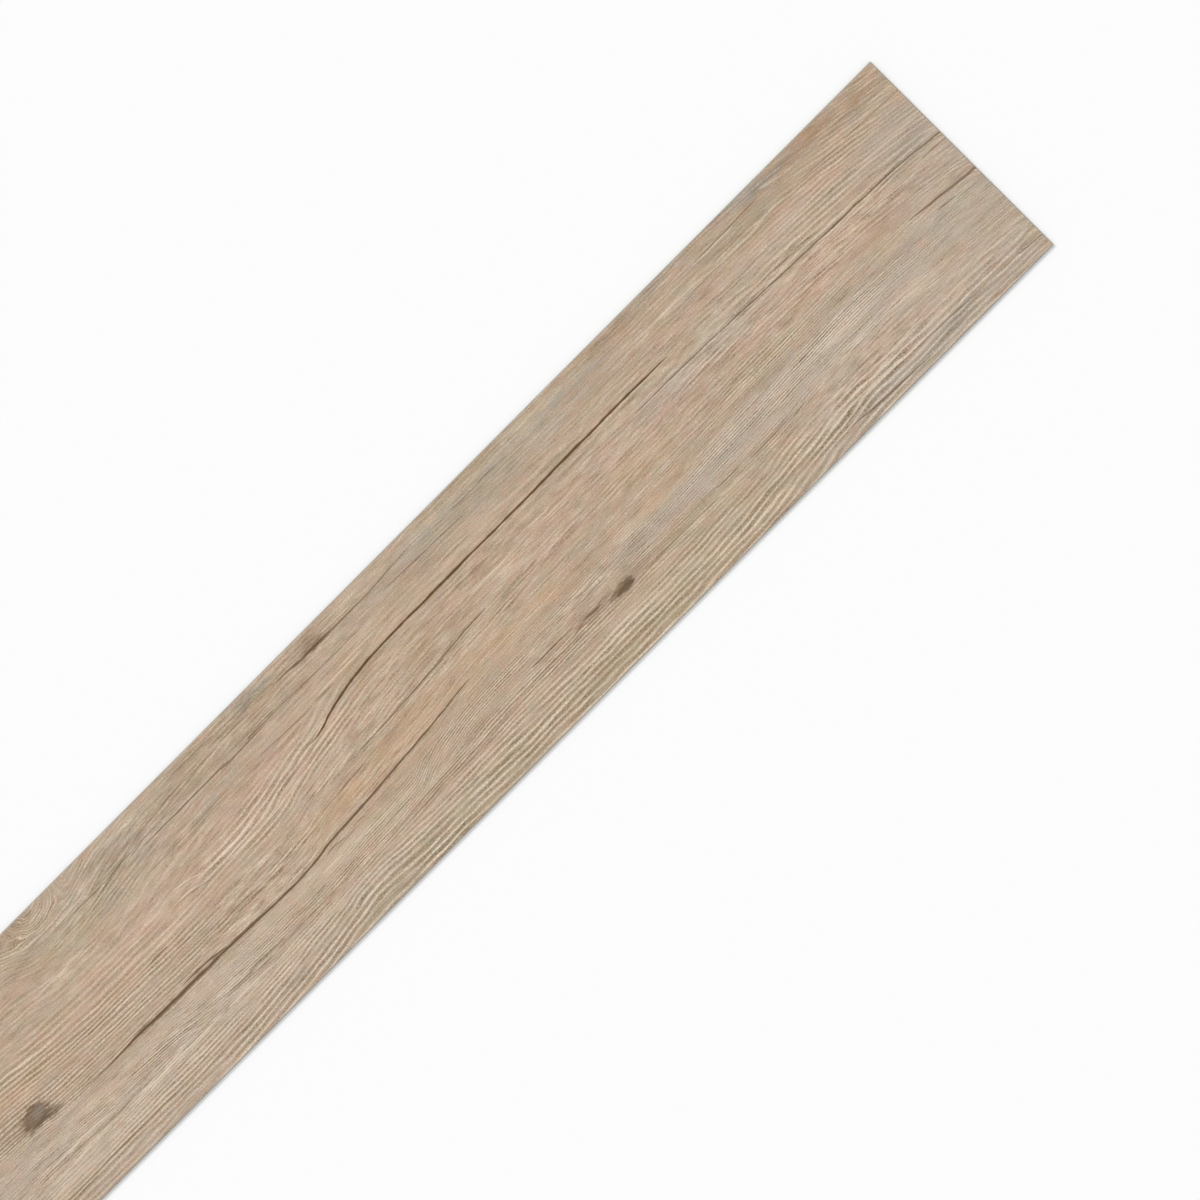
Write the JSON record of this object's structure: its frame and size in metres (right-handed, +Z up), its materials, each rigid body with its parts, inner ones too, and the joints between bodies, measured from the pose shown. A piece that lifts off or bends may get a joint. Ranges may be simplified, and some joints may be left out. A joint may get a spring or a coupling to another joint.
{
  "type": "floor plank",
  "caption": "Thin square-edged glue-down vinyl floor plank with an aged pale wood-look face and an eased top edge.",
  "frame": {"origin": "middle of the underside, the face that is glued to the floor", "axes": "+X along the plank's length, +Y across its width, +Z up out of the wood-look face"},
  "size_m": [0.9144, 0.1524, 0.002],
  "materials": {
    "vinyl_plank": "matte"
  },
  "bodies": {
    "root": {"floor_plank": "vinyl_plank"}
  },
  "joints": []
}
